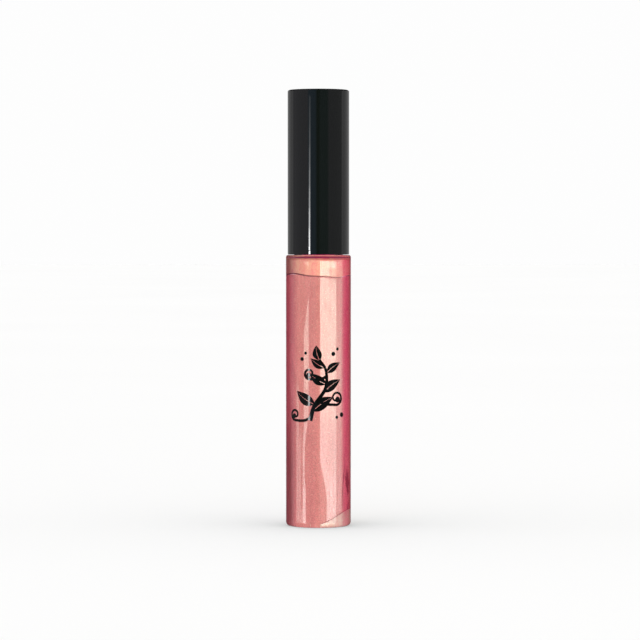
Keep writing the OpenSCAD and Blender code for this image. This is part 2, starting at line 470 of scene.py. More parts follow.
def neck_shape(r, z, angle):
    """Raises the thread from the neck's wall."""
    on_wall = abs(r - NECK_R) < 0.01
    if not on_wall:
        return r, z
    return r + (NECK_CREST_R - NECK_R) * thread_height(z, angle, NECK_THREAD_Z, 0, NECK_TURNS), z


def make_bottle():
    neck_foot = SHOULDER_Z + LEDGE_H
    outside = [(0, RECESS_H - 0.2), (GATE_R, RECESS_H - 0.2), (GATE_R, RECESS_H)]
    outside += arc((RECESS_R - RECESS_H - 0.15, RECESS_H - 0.15), 0.15, 90, 45, 3)
    outside += [(RECESS_R + 0.02, 0.02), (RECESS_R + 0.07, 0)]
    outside += arc((BOTTLE_R - BASE_ROUND, BASE_ROUND), BASE_ROUND, -90, 0, 14)
    outside += rows(BOTTLE_R, BASE_ROUND, SHOULDER_Z - SHOULDER_ROUND, 3.0)[1:]
    outside += arc((BOTTLE_R - SHOULDER_ROUND, SHOULDER_Z - SHOULDER_ROUND), SHOULDER_ROUND, 0, 90, 10)[1:]
    outside += [(LEDGE_R, SHOULDER_Z), (LEDGE_R, neck_foot - EDGE)]
    outside += arc((LEDGE_R - EDGE, neck_foot - EDGE), EDGE, 0, 90, 4)[1:]
    outside += rows(NECK_R, neck_foot, NECK_TOP - EDGE, 0.05)
    outside += arc((NECK_R - EDGE, NECK_TOP - EDGE), EDGE, 0, 90, 4)[1:]
    inside = [(BORE_R + 0.1, NECK_TOP)] + rows(BORE_R, NECK_TOP - 0.1, INNER_SHOULDER_Z, 2.0)[:-1]
    inside += list(reversed(cavity_outline()))
    piece = turned("bottle_clear", outside + inside, "bottle", shape=neck_shape)
    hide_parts("bottle")
    return clear_plastic().on(piece, "clear_plastic")


# --- The gloss ---

def level(angle):
    """The gloss's level round the wall: wavy, as it dries where it has been tilted."""
    side = math.cos(angle)  # -1 at the left, 1 at the right
    wave = 0.22 * math.sin(2 * angle + 0.7) + 0.1 * math.sin(5 * angle + 2.0) - 0.2 * side
    return GLOSS_Z + wave


def gap(angle):
    """Half the width of the painted-shade line at the level: widest at the left."""
    return 0.10 - 0.055 * math.cos(angle)


def body_shape(r, z, angle):
    """Moves the top of the wall to the level."""
    if z > GLOSS_Z - 2.0:
        z += (level(angle) - gap(angle) - GLOSS_Z) * smoothstep(GLOSS_Z - 2.0, GLOSS_Z, z)
    return r, z


def make_gloss():
    lip = 0.22
    outline = [(0, BASE_T - CONTACT)]
    outline += arc((CAVITY_R - CAVITY_ROUND, BASE_T + CAVITY_ROUND), CAVITY_ROUND + CONTACT, -90, 0, 20)
    outline += rows(GLOSS_R, BASE_T + CAVITY_ROUND, GLOSS_Z - 2.0, 3.0)[1:]
    outline += rows(GLOSS_R, GLOSS_Z - 2.0, GLOSS_Z - lip, 0.3)[1:]
    outline += arc((GLOSS_R - lip, GLOSS_Z - lip), lip, 0, 90, 6)[1:]
    channel_end = TIP_Z - 0.8
    channel_z = channel_end + CHANNEL_R
    outline += [(CAVITY_R - 1.2, GLOSS_Z - 0.25), (CHANNEL_R + 0.4, GLOSS_Z - 0.3)]
    outline += [(CHANNEL_R, GLOSS_Z - 0.1), (CHANNEL_R, 40), (CHANNEL_R, channel_z)]
    outline += arc((0, channel_z), CHANNEL_R, 0, -90, 10)[1:-1] + [(0, channel_end)]
    body = turned("gloss_fill", outline, "bottle", shape=body_shape)
    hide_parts("gloss")
    paint = pearl("gloss_pearl", (0.50, 0.012, 0.075), (0.96, 0.17, 0.24), (1.0, 0.75, 0.62))
    return paint.on(body, "gloss_pearl"), make_foot(paint)


def film_shape(r, z, angle):
    """The film's lower edge follows the level, and its inside is uneven."""
    foot = 1 - smoothstep(GLOSS_Z, GLOSS_Z + 2.0, z)
    z += (level(angle) + gap(angle) - GLOSS_Z) * foot
    if r < CAVITY_R - 0.1 and z < INNER_SHOULDER_Z - 0.3:
        spot = Vector((math.cos(angle) * 1.4, math.sin(angle) * 1.4, z * 0.35))
        r += 0.14 * noise.noise(spot)
    return r, z


def make_film():
    """The film of gloss on the wall above its level, over the shoulder and up the bore. Where it
    turns over the shoulder it is darkened to magenta with painted shade."""
    middle = (CAVITY_R - INNER_SHOULDER_R, WALL_TOP)
    outer = rows(GLOSS_R, GLOSS_Z, WALL_TOP, 0.3)
    outer += arc(middle, INNER_SHOULDER_R + CONTACT, 0, 90, 12)[1:]
    outer += [(BORE_R + CONTACT, INNER_SHOULDER_Z + CONTACT)]
    outer += rows(BORE_R + CONTACT, INNER_SHOULDER_Z + 0.4, wiper_low[2] - 0.8, 1.0)
    in_bore = BORE_R - 0.17
    inner = [(in_bore, wiper_low[2] - 1.0), (in_bore, INNER_SHOULDER_Z - FILM_T)]
    inner += arc(middle, INNER_SHOULDER_R - FILM_T, 90, 0, 8)
    inner += list(reversed(rows(CAVITY_R - FILM_T, GLOSS_Z + 0.5, WALL_TOP, 0.4)))[1:]
    piece = turned("gloss_film", outer + inner, "bottle", ring=True, shape=film_shape)
    paint = pearl("gloss_film", (0.90, 0.10, 0.20), (1.0, 0.56, 0.38), (1.0, 0.85, 0.7), (1, 1, 0.5),
                  shoulder_shade_colour=(0.75, 0.03, 0.30), shoulder_shade_at=((WALL_TOP + 0.60) * MM, (WALL_TOP + 0.86) * MM))
    return paint.on(piece, "gloss_pearl")


def level_shade_shape(r, z, angle):
    """Lays the line along the level."""
    return r, level(angle) + gap(angle) * z


def make_level_shade():
    """A line of painted shade where the gloss meets the film, darkest at the left and paling towards
    the right. Its heights run from -1 to 1."""
    deep, near = GLOSS_R - 0.8, GLOSS_R - 0.15
    outline = [(deep, -1.2), (near, -1.2), (GLOSS_R, -1), (GLOSS_R, -0.3), (GLOSS_R, 0.3), (GLOSS_R, 1),
               (near, 1.2), (deep, 1.2)]
    piece = turned("gloss_level_painted_shade", outline, "bottle", ring=True, shape=level_shade_shape)
    paint = Paint("gloss_level_painted_shade", IOR=1.5)
    cloud = paint.noise(900, stretch=(1, 1, 0.5), detail=4)
    wavering = paint.plus(paint.part("X"), paint.times(cloud, 0.004))
    rightward = paint.spread(wavering, -0.003, 0.0022)
    # Painted shade: dark at the left, paler towards the right.
    paint.colour(paint.blend(rightward, (0.24, 0.02, 0.05), (0.95, 0.42, 0.34)))
    paint.roughness(cloud, 0.3, 0.7, 0.4, 0.55)
    return paint.on(piece, "gloss_pearl")


def painted_light_top(angle):
    """The height, on the wall, of the patch of painted light, which rises towards the right."""
    rightward = math.cos(angle)
    return 0.8 + 1.7 * rightward + 1.7 * max(rightward, 0) ** 2


def painted_light_shape(r, z, angle):
    """Heights from 0 to 1 run from the gloss's foot up to the painted-light patch's edge. Where the
    patch has run out it lies hidden inside the gloss."""
    top = painted_light_top(angle)
    hidden = 1 - smoothstep(FOOT_Z + 0.3, FOOT_Z + 0.5, top)
    low = FOOT_Z + 0.22
    return r - 0.3 * hidden, low + (max(top, low + 0.2) - low) * z


def make_painted_light():
    """A patch of painted light low on the right and a line of painted shade along its edge."""
    skin = GLOSS_R + 0.02
    heights = [i / 14 for i in range(15)]
    outline = [(skin, z) for z in heights] + [(GLOSS_R - 0.2, 1.0), (GLOSS_R - 0.25, 0.0)]
    piece = turned("gloss_painted_light", outline, "bottle", ring=True, shape=painted_light_shape)
    # Painted light: pale peach colours for the bright patch low on the right.
    paint = pearl("gloss_painted_light", (1.0, 0.27, 0.33), (1.0, 0.68, 0.56), (1.0, 0.9, 0.8), (1, 1, 0.5))
    paint.on(piece, "gloss_pearl")

    # Painted shade: the dark line along the patch's edge.
    outline = [(skin - 0.3, -1), (skin + 0.005, -1), (skin + 0.005, 1), (skin - 0.3, 1)]
    edge = turned("painted_light_shade_edge", outline, "bottle", ring=True, shape=painted_light_edge_shape)
    paint = Paint("painted_light_shade_edge", IOR=1.5)
    cloud = paint.noise(900, detail=4)
    paint.colour(paint.blend(cloud, (0.45, 0.03, 0.08), (0.75, 0.12, 0.16)))
    paint.roughness(cloud, 0.3, 0.7, 0.4, 0.55)
    paint.on(edge, "gloss_pearl")
    return piece, edge


def painted_light_edge_shape(r, z, angle):
    """Lays the painted-shade line along the painted-light patch's edge, and hides it where the patch has run
    out.
    """
    top = painted_light_top(angle)
    hidden = 1 - smoothstep(FOOT_Z + 0.3, FOOT_Z + 0.6, top)
    return r - 0.4 * hidden, max(top, FOOT_Z + 0.5) + 0.09 * z


def make_foot(paint):
    """The gloss's colour brought down through the clear base to just above its recess: a painted reflection
    of the gloss, which the clear base shows by refraction.
    """
    edge_round = 0.25
    top = BASE_T + CAVITY_ROUND + 0.1
    middle = BASE_T + 0.35
    outline = [(0, FOOT_Z)]
    outline += arc((GLOSS_R - edge_round, FOOT_Z + edge_round), edge_round, -90, 0, 6)
    outline += [(GLOSS_R, top - 0.2), (GLOSS_R - 0.2, top), (GLOSS_R - 1.5, middle), (0, middle)]
    return paint.on(turned("gloss_foot", outline, "bottle"), "gloss_pearl")


def dark_streak_shapes():
    """Each streak's azimuth in degrees, foot, height, width and lean. One long hair lies apart
    from a tuft of short ones, and a few thin ones lie below it."""
    rng = random.Random(11)
    streaks = [(64, 5.0, 14.0, 0.22, 1.0)]
    for _ in range(26):
        off = rng.gauss(0, 1)
        foot = 7.4 + 2.6 * rng.random() + 0.5 * abs(off)
        tall, width, lean = rng.uniform(2.0, 4.6), rng.uniform(0.14, 0.40), rng.uniform(-1.5, -0.1)
        streaks.append((79.5 + 4.5 * off, foot, tall, width, lean))
    for _ in range(5):
        azimuth, foot = rng.uniform(80, 88), 2.9 + rng.random()
        streaks.append((azimuth, foot, rng.uniform(1.8, 3.4), rng.uniform(0.08, 0.2), 0.5))
    return streaks


def make_dark_streaks():
    """Dark streaks on the gloss near its right side."""
    bm = bmesh.new()
    steps = 18
    for azimuth, foot, tall, width, lean in dark_streak_shapes():
        path = []
        for i in range(steps + 1):
            t = i / steps
            wander = 0.12 * math.sin(9 * t + azimuth) + lean * (t - 0.5)
            path.append((math.radians(azimuth) * GLOSS_R + wander, foot + tall * t))

        def swelling(t):
            return width * (0.15 + math.sin(math.pi * t) * (0.75 + 0.25 * math.sin(14 * t)))

        stroke(bm, path, swelling, wall=GLOSS_R)
    piece = finish_mesh("gloss_dark_streaks", bm, "bottle", sharp=60)
    paint = Paint("gloss_dark_streaks", IOR=1.5)
    cloud = paint.noise(1200, detail=4)
    paint.colour(paint.blend(cloud, (0.26, 0.004, 0.03), (0.78, 0.07, 0.16)))
    paint.roughness(cloud, 0.3, 0.7, 0.35, 0.55)
    return paint.on(piece, "gloss_pearl")


# --- The wiper, washer, stem and inner cap ---

def make_wiper():
    low, top = wiper_low[2], wiper_high[2]
    flange = NECK_R - 0.25
    wall = BORE_R - 0.05
    corners = [
        (3.6, top), (flange, top), (flange, NECK_TOP), (wall, NECK_TOP), (wall, NECK_TOP - 1.6),
        (wall + 0.05, NECK_TOP - 1.85), (wall + 0.05, NECK_TOP - 2.15), (wall, NECK_TOP - 2.4),
        (wall, NECK_TOP - 3.8), (wall + 0.05, NECK_TOP - 4.05), (wall + 0.05, NECK_TOP - 4.35),
        (wall, NECK_TOP - 4.6), (wall, low + 2), (2.9, low), (2.3, low), (2.3, low + 0.35),
        (3.4, low + 2.8), (3.4, top - 0.4)
    ]
    piece = turned("wiper_insert", rounded(corners, 0.12, 4), "bottle", sides=128, ring=True)
    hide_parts("wiper")
    paint = smeared_plastic("wiper_natural", (0.80, 0.77, 0.74), (0.78, 0.30, 0.28), low + 1.5, top - 1.0)
    return paint.on(piece, "wiper_natural")


def make_washer():
    low, top = washer_low[2], washer_high[2]
    r, hole = washer_high[0], 2.1
    dent = [(4.9, low), (4.75, low + 0.07), (4.0, low + 0.09), (3.55, low + 0.05), (3.4, low)]
    corners = [(hole, low), (hole, top), (r, top), (r, low)] + dent
    piece = turned("seal_disc", rounded(corners, 0.1, 4), "washer", sides=128, ring=True)
    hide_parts("seal_washer")
    return foam().on(piece, "seal_foam")


def make_stem():
    low, top = stem_low[2], stem_high[2]
    head_z = top - 1.0
    collar = [(STEM_R - 0.06, low + 1.2), (STEM_R - 0.06, low + 1.5)]
    outline = [(1.1, low + 5.0), (1.1, low + 0.12)] + arc((1.22, low + 0.12), 0.12, 180, 270, 3)[1:]
    outline += arc((STEM_R - 0.18, low + 0.18), 0.18, -90, 0, 5)
    outline += [(STEM_R, low + 1.12)] + collar + [(STEM_R, low + 1.58)]
    outline += rows(STEM_R, low + 1.8, head_z, 2.0)
    outline += [(2.65, head_z)] + arc((2.65, head_z + 0.15), 0.15, -90, 0, 3)[1:]
    outline += arc((2.6, top - 0.2), 0.2, 0, 90, 4) + [(0, top)]
    outline = [(0, low + 5.0)] + outline
    piece = turned("wand_stem", outline, "stem", sides=96)
    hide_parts("stem")
    paint = smeared_plastic("wand_natural", (0.80, 0.77, 0.74), (0.80, 0.34, 0.31), GLOSS_Z - 8, GLOSS_Z + 3)
    return paint.on(piece, "wand_natural")


def inner_cap_shape(r, z, angle):
    """Raises the thread from the inner cap's wall."""
    if abs(r - INNER_ROOT_R) > 0.01:
        return r, z
    stands = thread_height(z, angle, INNER_THREAD_Z, INNER_THREAD_START, INNER_TURNS)
    return r + (INNER_CREST_R - INNER_ROOT_R) * stands, z


def make_inner_cap():
    low, top = inner_low[2], inner_high[2]
    r = inner_high[0] - 0.1
    deck = washer_high[2] + 0.05
    deck_top = deck + 1.45
    boss_r, boss_top = 3.3, top - 2.1
    bead = deck + 0.7
    outline = arc((r - EDGE, low + EDGE), EDGE, -90, 0, 4)
    outline += [(r, bead - 0.4), (r + 0.1, bead - 0.2), (r + 0.1, bead + 0.2), (r, bead + 0.4)]
    outline += [(r, deck_top - 0.1), (r - 0.1, deck_top)]
    outline += arc((boss_r + 0.3, deck_top + 0.3), 0.3, 270, 180, 5)
    outline += arc((boss_r - 0.15, boss_top - 0.15), 0.15, 0, 90, 4)
    outline += [(STEM_R + 0.05, boss_top), (STEM_R + 0.05, deck), (INNER_ROOT_R - 0.2, deck)]
    outline += arc((INNER_ROOT_R - 0.2, deck - 0.2), 0.2, 90, 0, 4)[1:-1]
    outline += list(reversed(rows(INNER_ROOT_R, low + EDGE, deck - 0.2, 0.06)))
    outline += [(INNER_ROOT_R + EDGE, low)]
    bm = bmesh.new()
    add_turned(bm, outline, ring=True, shape=inner_cap_shape)
    for k in range(6):
        reach, thick, tall = r - boss_r + 0.1, 0.7, top - deck_top + 0.2
        turn = Matrix.Rotation(math.radians(60 * k), 4, "Z")
        centre = Matrix.Translation((boss_r - 0.2 + reach / 2, 0, deck_top - 0.2 + tall / 2))
        size = Matrix.Diagonal((reach, thick, tall, 1))
        fin = bmesh.ops.create_cube(bm, size=1, matrix=turn @ centre @ size)["verts"]
        edges = list({edge for vert in fin for edge in vert.link_edges})
        bmesh.ops.bevel(bm, geom=edges, offset=0.08, segments=2, affect="EDGES")
    piece = finish_mesh("cap_insert", bm, "cap")
    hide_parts("inner_cap")
    paint = natural_plastic("inner_cap_natural", (0.82, 0.81, 0.79), (0.74, 0.73, 0.71))
    return paint.on(piece, "inner_cap_natural")


def make_cap_shell():
    r_in = 6.95
    r_up = r_in - 0.55
    groove = washer_high[2] + 0.05 + 0.7
    step = inner_high[2] + 0.1
    ceiling = CAP_TOP - 1.3
    outline = [(r_in + 0.2, CAP_Z)] + arc((CAP_R - 0.12, CAP_Z + 0.12), 0.12, -90, 0, 5)
    outline += rows(CAP_R, CAP_Z + 2, CAP_TOP - 2, 4.0)
    outline += arc((CAP_R - 0.45, CAP_TOP - 0.45), 0.45, 0, 90, 12) + [(0, CAP_TOP), (0, ceiling)]
    outline += arc((r_up - 0.6, ceiling - 0.6), 0.6, 90, 0, 6)
    outline += [(r_up, step), (r_in, step), (r_in, groove + 0.4), (r_in + 0.1, groove + 0.2)]
    outline += [(r_in + 0.1, groove - 0.2), (r_in, groove - 0.4), (r_in, CAP_Z + 0.2)]
    piece = turned("cap_outer", outline, "cap", sides=256, ring=True)
    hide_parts("cap_shell")
    return black_plastic().on(piece, "cap_black")


# --- The applicator ---

def doe_foot(grow):
    """The applicator's form, grown outwards, as a convex hull in millimetres."""
    bm = bmesh.new()
    for z in (TIP_TOP - 0.4, TIP_TOP):
        bmesh.ops.create_circle(bm, segments=64, radius=1.4 + grow, matrix=Matrix.Translation((0, 0, z)))
    balls = [((0, 0, TIP_TOP - 2.7), 1.75 + grow)]
    balls += [((0.7 * side, 0.95, TIP_Z + FLOCK_T + 0.6), 0.6 + grow) for side in (-1, 1)]
    for centre, radius in balls:
        bmesh.ops.create_icosphere(bm, subdivisions=4, radius=radius, matrix=Matrix.Translation(centre))
    hull = bmesh.ops.convex_hull(bm, input=bm.verts)
    kept = {item for item in hull["geom"] if isinstance(item, bmesh.types.BMFace)}
    bmesh.ops.delete(bm, geom=[f for f in bm.faces if f not in kept], context="FACES")
    bmesh.ops.delete(bm, geom=[v for v in bm.verts if not v.link_faces], context="VERTS")
    bmesh.ops.rotate(bm, verts=bm.verts, matrix=Matrix.Rotation(math.radians(TIP_TURN), 3, "Z"))
    return bm


def make_applicator():
    bm = doe_foot(0.0)
    add_turned(bm, [(0, TIP_TOP - 0.2), (1.05, TIP_TOP - 0.2), (1.05, TIP_TOP + 4.5), (0.95, TIP_TOP + 4.6),
                    (0, TIP_TOP + 4.6)], sides=48)
    core = finish_mesh("applicator_soft", bm, "cap")
    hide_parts("applicator_core")
    soft = natural_plastic("applicator_soft", (0.80, 0.60, 0.57), (0.74, 0.50, 0.48), 0.6)
    soft.on(core, "applicator_soft")

    coat = finish_mesh("flock_nap", doe_foot(0.12), "cap")
    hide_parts("flock_coat")
    flock("flock_nap", (0.62, 0.16, 0.17), (0.82, 0.42, 0.40)).on(coat, "flock")
    make_fibres()


def make_fibres(count=9000):
    """The nap's fibres: thin three-sided spikes that lean a little away from the surface."""
    rng = random.Random(11)
    form = doe_foot(0.1)
    form.normal_update()
    bmesh.ops.recalc_face_normals(form, faces=form.faces)
    bmesh.ops.triangulate(form, faces=form.faces)
    faces = [f for f in form.faces if f.calc_center_median().z < TIP_TOP - 0.15]
    picked = rng.choices(faces, weights=[f.calc_area() for f in faces], k=count)
    bm = bmesh.new()
    for face in picked:
        a, b, c = (v.co for v in face.verts)
        s, t = sorted((rng.random(), rng.random()))
        foot = a * s + b * (t - s) + c * (1 - t)
        lean = Vector((rng.uniform(-1, 1), rng.uniform(-1, 1), rng.uniform(-1, 0.2))) * 0.45
        way = (face.normal + lean).normalized()
        top = foot + way * rng.uniform(0.12, 0.23)
        side = way.orthogonal().normalized() * rng.uniform(0.011, 0.017)
        ring = [bm.verts.new(foot + Matrix.Rotation(math.radians(120 * k), 3, way) @ side) for k in range(3)]
        peak = bm.verts.new(top)
        for k in range(3):
            bm.faces.new((ring[k], ring[(k + 1) % 3], peak))
    form.free()
    fibres = finish_mesh("flock_fibres", bm, "cap", sharp=180)
    flock("flock_fibres", (0.66, 0.20, 0.21), (0.90, 0.55, 0.52)).on(fibres, "flock")


# --- The print ---

def on_wall(across, up, wall, rise):
    """A point that stands out from a round wall. Across is measured round it from its front."""
    angle = across / wall
    r = wall + rise
    return Vector((r * math.sin(angle), -r * math.cos(angle), up))


def add_patch(bm, grid, wall=BOTTLE_R):
    """A sheet of quads through a grid of (across, up) points, which stands out from a wall."""
    top = [[bm.verts.new(on_wall(s, z, wall, SKIN)) for s, z in row] for row in grid]
    low = [[bm.verts.new(on_wall(s, z, wall, -SUNK)) for s, z in row] for row in grid]
    count, width = len(grid), len(grid[0])
    for i in range(count - 1):
        for k in range(width - 1):
            bm.faces.new((top[i][k], top[i][k + 1], top[i + 1][k + 1], top[i + 1][k]))
            bm.faces.new((low[i][k], low[i + 1][k], low[i + 1][k + 1], low[i][k + 1]))
    rim = [(0, k) for k in range(width)] + [(i, width - 1) for i in range(1, count)]
    rim += [(count - 1, k) for k in range(width - 2, -1, -1)] + [(i, 0) for i in range(count - 2, 0, -1)]
    for (i, k), (j, m) in zip(rim, rim[1:] + rim[:1]):
        bm.faces.new((top[i][k], top[j][m], low[j][m], low[i][k]))


def stroke(bm, path, width, across=4, wall=BOTTLE_R):
    """A line of changing width along path, a list of (across, up) points. Width is a function
    of how far along it is, from 0 to 1."""
    grid = []
    for i, point in enumerate(path):
        ahead = Vector(path[min(i + 1, len(path) - 1)]) - Vector(path[max(i - 1, 0)])
        side = Vector((-ahead.y, ahead.x)).normalized()
        half = width(i / (len(path) - 1)) / 2
        grid.append([tuple(Vector(point) + side * half * (2 * k / across - 1)) for k in range(across + 1)])
    add_patch(bm, grid, wall)


def curve(points, steps=14):
    """A smooth path through points."""
    ends = [2 * Vector(points[0]) - Vector(points[1])] + [Vector(p) for p in points]
    ends.append(2 * ends[-1] - ends[-2])
    path = []
    for a, b, c, d in zip(ends, ends[1:], ends[2:], ends[3:]):
        for i in range(steps):
            t = i / steps
            path.append(tuple(0.5 * (2 * b + (c - a) * t + (2 * a - 5 * b + 4 * c - d) * t * t
                                     + (3 * b - a - 3 * c + d) * t ** 3)))
    path.append(tuple(points[-1]))
    return path


def leaf(bm, foot, heading, length, width):
    """A pointed leaf in two halves, with a clear vein between them."""
    way = Vector((math.cos(math.radians(heading)), math.sin(math.radians(heading))))
    side = Vector((-way.y, way.x))
    for half in (-1, 1):
        grid = []
        for i in range(17):
            t = i / 16
            bow = width * math.sin(math.pi * t ** 0.8) / 2
            vein = 0.06 * (1 - t) + 0.01
            middle = Vector(foot) + way * length * t + side * 0.12 * width * math.sin(math.pi * t)
            reach = max(bow, vein + 0.01)
            grid.append([tuple(middle + side * half * (vein + (reach - vein) * k / 4)) for k in range(5)])
        add_patch(bm, grid)


def dot(bm, centre, radius):
    """A round berry, as a patch whose corners are pulled onto the circle."""
    steps = [i / 4 - 1 for i in range(9)]
    grid = [[(centre[0] + x * math.sqrt(1 - y * y / 2) * radius,
              centre[1] + y * math.sqrt(1 - x * x / 2) * radius) for y in steps] for x in steps]
    add_patch(bm, grid)


def make_print():
    """A plain leafy sprig with tendrils, drawn for this tube."""
    bm = bmesh.new()
    right, middle = 0.9, 36.5
    stem_path = curve([(right - 3.0, middle - 9.4), (right - 1.9, middle - 5.6), (right + 0.9, middle - 1.2),
                       (right + 1.0, middle + 3.2), (right - 0.6, middle + 6.0)])
    stroke(bm, stem_path, lambda t: 1.15 - 0.6 * t)

    def along(up):
        return min(stem_path, key=lambda point: abs(point[1] - middle - up))

    leaf(bm, (right - 0.6, middle + 5.8), 103, 3.9, 2.3)
    for up, side in ((-7.0, 1), (-5.2, -1), (-2.2, 1), (-0.2, -1), (2.6, 1), (3.9, -1)):
        shrink = 1 - 0.03 * (up + 7)
        foot = along(up)
        leaf(bm, (foot[0] + 0.1 * side, foot[1]), 90 - side * 56, 6.4 * shrink, 3.0 * shrink)
    for up, side, size in ((-8.6, -1, 1.25), (-4.4, 1, 1.5), (1.6, -1, 1.15)):
        foot = along(up)
        centre = (foot[0] + side * 4.1 * size ** 0.5, foot[1] + 0.7)
        reach = curve([foot, (foot[0] + side * 1.9, foot[1] - 0.8), (centre[0], centre[1] - 1.2 * size)], 8)
        coil = spiral(centre, 1.2 * size, 0.4 * size, -90, side * 400 - 90)
        stroke(bm, reach + coil[1:], lambda t: 0.75 - 0.3 * t)
        dot(bm, coil[-1], 0.5 * size)
    for across, up, radius in ((5.6, -8.0, 0.6), (4.0, -8.6, 0.42), (-5.2, 6.1, 0.5), (-4.2, 7.6, 0.38),
                               (3.0, 7.4, 0.55), (4.2, 8.6, 0.4)):
        dot(bm, (right + across, middle + up), radius)
    piece = finish_mesh("printed_sprig", bm, "bottle", sharp=60)
    piece.visible_glossy = False
    piece.visible_transmission = False
    piece.visible_diffuse = False
    piece.visible_shadow = False
    return ink().on(piece)


# --- Camera, floor and light ---

def add_object(name, data):
    made = bpy.data.objects.new(name, data)
    bpy.context.scene.collection.objects.link(made)
    return made


CAMERA_PLACE = (0.0004, -0.70, 0.074)
CAMERA_AIM = (0.0004, 0, 0.0522)


def make_camera():
    camera = add_object("camera", bpy.data.cameras.new("camera"))
    camera.data.lens = 155
    camera.data.sensor_width = 36
    camera.location = CAMERA_PLACE
    aim = Vector(CAMERA_AIM) - Vector(CAMERA_PLACE)
    camera.rotation_euler = aim.to_track_quat("-Z", "Y").to_euler()
    bpy.context.scene.camera = camera


def receivers(name, pieces):
    """A collection that a lamp can be limited to."""
    group = bpy.data.collections.new(name)
    for piece in pieces:
        group.objects.link(piece)
    return group


def soft_light(name, azimuth, middle, distance, size, radiance, group, colour=(1, 1, 1)):
    """A rectangular lamp that faces the tube's axis. Azimuth 0 is in front of the tube and 90
    at its right. Middle is the height of the lamp's centre, size its width and height."""
    lamp = bpy.data.lights.new(name, "AREA")
    lamp.shape = "RECTANGLE"
    lamp.size, lamp.size_y = size
    lamp.energy = radiance * math.pi * size[0] * size[1]
    lamp.color = colour
    made = add_object(name, lamp)
    angle = math.radians(azimuth)
    out = Vector((math.sin(angle), -math.cos(angle), 0))
    made.location = out * distance + Vector((0, 0, middle))
    across = Vector((math.cos(angle), math.sin(angle), 0))
    made.rotation_euler = Matrix((across, (0, 0, 1), out)).transposed().to_euler()
    made.visible_camera = False
    made.light_linking.receiver_collection = group
    return made


def band(name, start, end, radiance, group, distance=0.4, low=-0.16, high=0.26):
    """A lamp that spans a range of azimuths, for one bright stripe down the cap."""
    half = math.radians(end - start) / 2
    width = 2 * distance * math.tan(half)
    soft_light(name, (start + end) / 2, (low + high) / 2, distance, (width, high - low), radiance, group)


def make_floor():
    bm = bmesh.new()
    bmesh.ops.create_grid(bm, x_segments=2, y_segments=2, size=6)
    mesh = bpy.data.meshes.new("floor")
    bm.to_mesh(mesh)
    bm.free()
    floor = add_object("floor", mesh)
    paint = Paint("floor", Roughness=0.9)
    paint.shader.inputs["Specular IOR Level"].default_value = 0.0
    paint.colour(paint.blend(paint.noise(3, detail=2), (0.918, 0.90, 0.892), (0.948, 0.93, 0.922)))
    floor.data.materials.append(paint.material)
    floor.visible_glossy = False
    floor.visible_transmission = False
    floor.visible_shadow = False
    floor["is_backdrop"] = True
    return floor


# The studio is drawn in the world by azimuth, 0 at the front and 90 at the right, and by height
# above the horizon, in degrees. Seen from the camera, the gloss's foot mirrors a height of -6.

BANDS_BELOW = (-14.0, -10.0)  # heights between which the bands fade in
BANDS_ABOVE = (6.0, 10.0)  # and out again
RIGHT_BOX_MIDDLE, RIGHT_BOX_END, RIGHT_SHEEN_END = 47.6, 83.4, 112.0
WEDGE_LEFT, OUTER_LEFT, OUTER_RIGHT = -72.0, -108.0, -94.0


def stripe(sky, azimuth, left, right, soft=1.0):
    """1 between two azimuths and 0 outside them."""
    past_left = sky.spread(sky.minus(azimuth, left), -soft, soft)
    past_right = sky.spread(sky.minus(azimuth, right), -soft, soft)
    return sky.times(past_left, sky.minus(1.0, past_right))


def soft_boxes(sky, azimuth, up):
    """The studio's lights as the gloss mirrors them: a tall box at the right, which is narrower
    near the top, and one at the left that begins as a wedge and splits in two."""

    def slant(low, high, below, above):
        """Moves evenly from one value to another between two heights."""
        return sky.spread(up, low, high, below, above, "LINEAR")

    def change(low, high, below=1.0, above=0.0):
        """Eases from one value to another between two heights."""
        return sky.spread(up, low, high, below, above)

    right_box = stripe(sky, azimuth, slant(-5.4, -4.7, 37.0, 7.5), RIGHT_BOX_MIDDLE)
    right_sheen = stripe(sky, azimuth, RIGHT_BOX_END, RIGHT_SHEEN_END, 5.0)
    right_box = sky.plus(right_box, sky.times(right_sheen, change(-2.2, -1.5, 0.30, 0.10)))
    right_part = stripe(sky, azimuth, RIGHT_BOX_MIDDLE, RIGHT_BOX_END, 3.0)
    right_box = sky.plus(right_box, sky.times(right_part, slant(-1.15, -0.75, 1.0, 0.4)))
    right_box = sky.times(right_box, sky.times(change(-4.2, -3.5, 0.70, 1.0), change(-5.2, -4.7, 1.3, 1.0)))

    wedge_left = sky.plus(slant(-2.1, -1.3, -67.0, -44.5), change(-4.6, -3.8, -5.0, 0.0))
    wedge_right = sky.plus(slant(-4.4, -3.7, -62.0, -43.5), change(-5.4, -5.0, 4.5, 0.0))
    wedge = stripe(sky, azimuth, wedge_left, wedge_right)
    wedge = sky.times(sky.times(wedge, change(-1.38, -1.2)), change(-5.5, -4.9, 1.4, 1.0))
    outer = sky.times(stripe(sky, azimuth, OUTER_LEFT, OUTER_RIGHT), change(-3.3, -2.9))
    stretched = sky.add("CombineXYZ", 0, X=sky.times(azimuth, 0.16), Y=sky.times(up, 0.30))
    streaks = sky.add("TexNoise", "Fac", Vector=stretched, Scale=1.0, Detail=4.0)
    between = sky.times(stripe(sky, azimuth, OUTER_RIGHT, WEDGE_LEFT), change(-4.4, -3.9))
    between = sky.times(between, sky.spread(streaks, 0.35, 0.65, 0.25, 1.75))
    fringe = sky.times(stripe(sky, azimuth, 2.0, 40.0, 16.0), change(-4.2, -3.6))

    total = sky.times(right_box, sky.spread(streaks, 0.3, 0.7, 2.6, 3.2))
    for box, radiance in ((wedge, 1.8), (outer, 1.0), (between, 0.95), (fringe, 0.35)):
        total = sky.plus(total, sky.times(box, radiance))
    return sky.times(total, sky.times(change(*BANDS_BELOW, 0.0, 1.0), change(*BANDS_ABOVE)))


